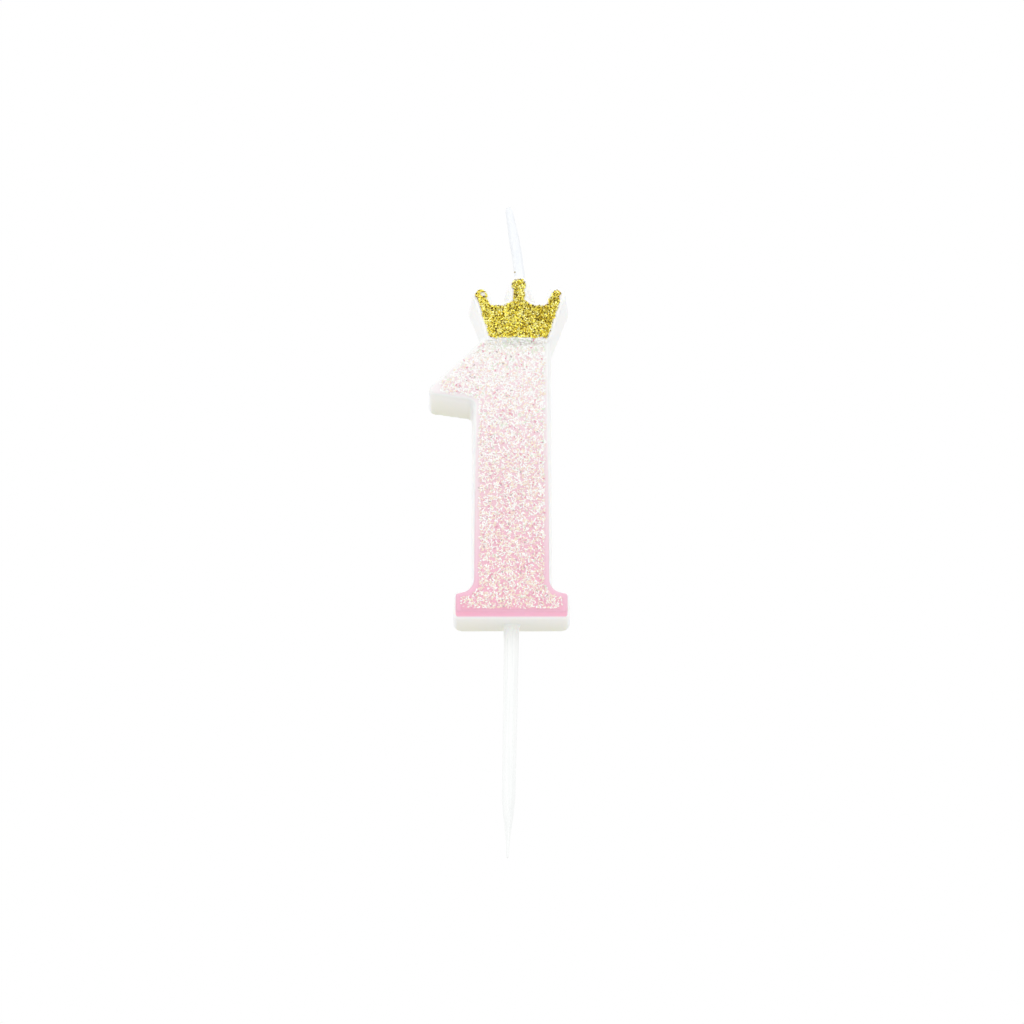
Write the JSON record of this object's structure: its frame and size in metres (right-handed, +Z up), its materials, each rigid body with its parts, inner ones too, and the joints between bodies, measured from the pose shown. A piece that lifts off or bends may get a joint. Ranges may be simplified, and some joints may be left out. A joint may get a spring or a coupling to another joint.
{
  "type": "number birthday candle",
  "caption": "Cast wax numeral with a small crown, glitter coats on the front, a leaning wick above and a pointed plastic pick below.",
  "frame": {"origin": "where the pick's centre line leaves the flat underside of the wax, at half the wax's thickness", "axes": "+Z up along the numeral, -Y out of the glittered front, +X to the right of someone facing the front"},
  "size_m": [0.0279, 0.0128, 0.1301],
  "materials": {
    "wax": "smooth, waxy, slightly see-through",
    "pink_wax": "satin, fading to near white at the head",
    "pearl_glitter": "clear coat full of pearly flakes",
    "gold_glitter": "metallic gold flakes",
    "wick_wax": "smooth waxed",
    "cotton": "twisted cotton",
    "pick_plastic": "milky moulded plastic"
  },
  "bodies": {
    "root": {"wax_body": "wax", "pink_coat": "pink_wax", "number_glitter": "pearl_glitter", "crown_glitter": "gold_glitter", "wick_sheath": "wick_wax", "wick_core": "cotton", "pick": "pick_plastic", "sealing_bead": "wax"}
  },
  "joints": []
}
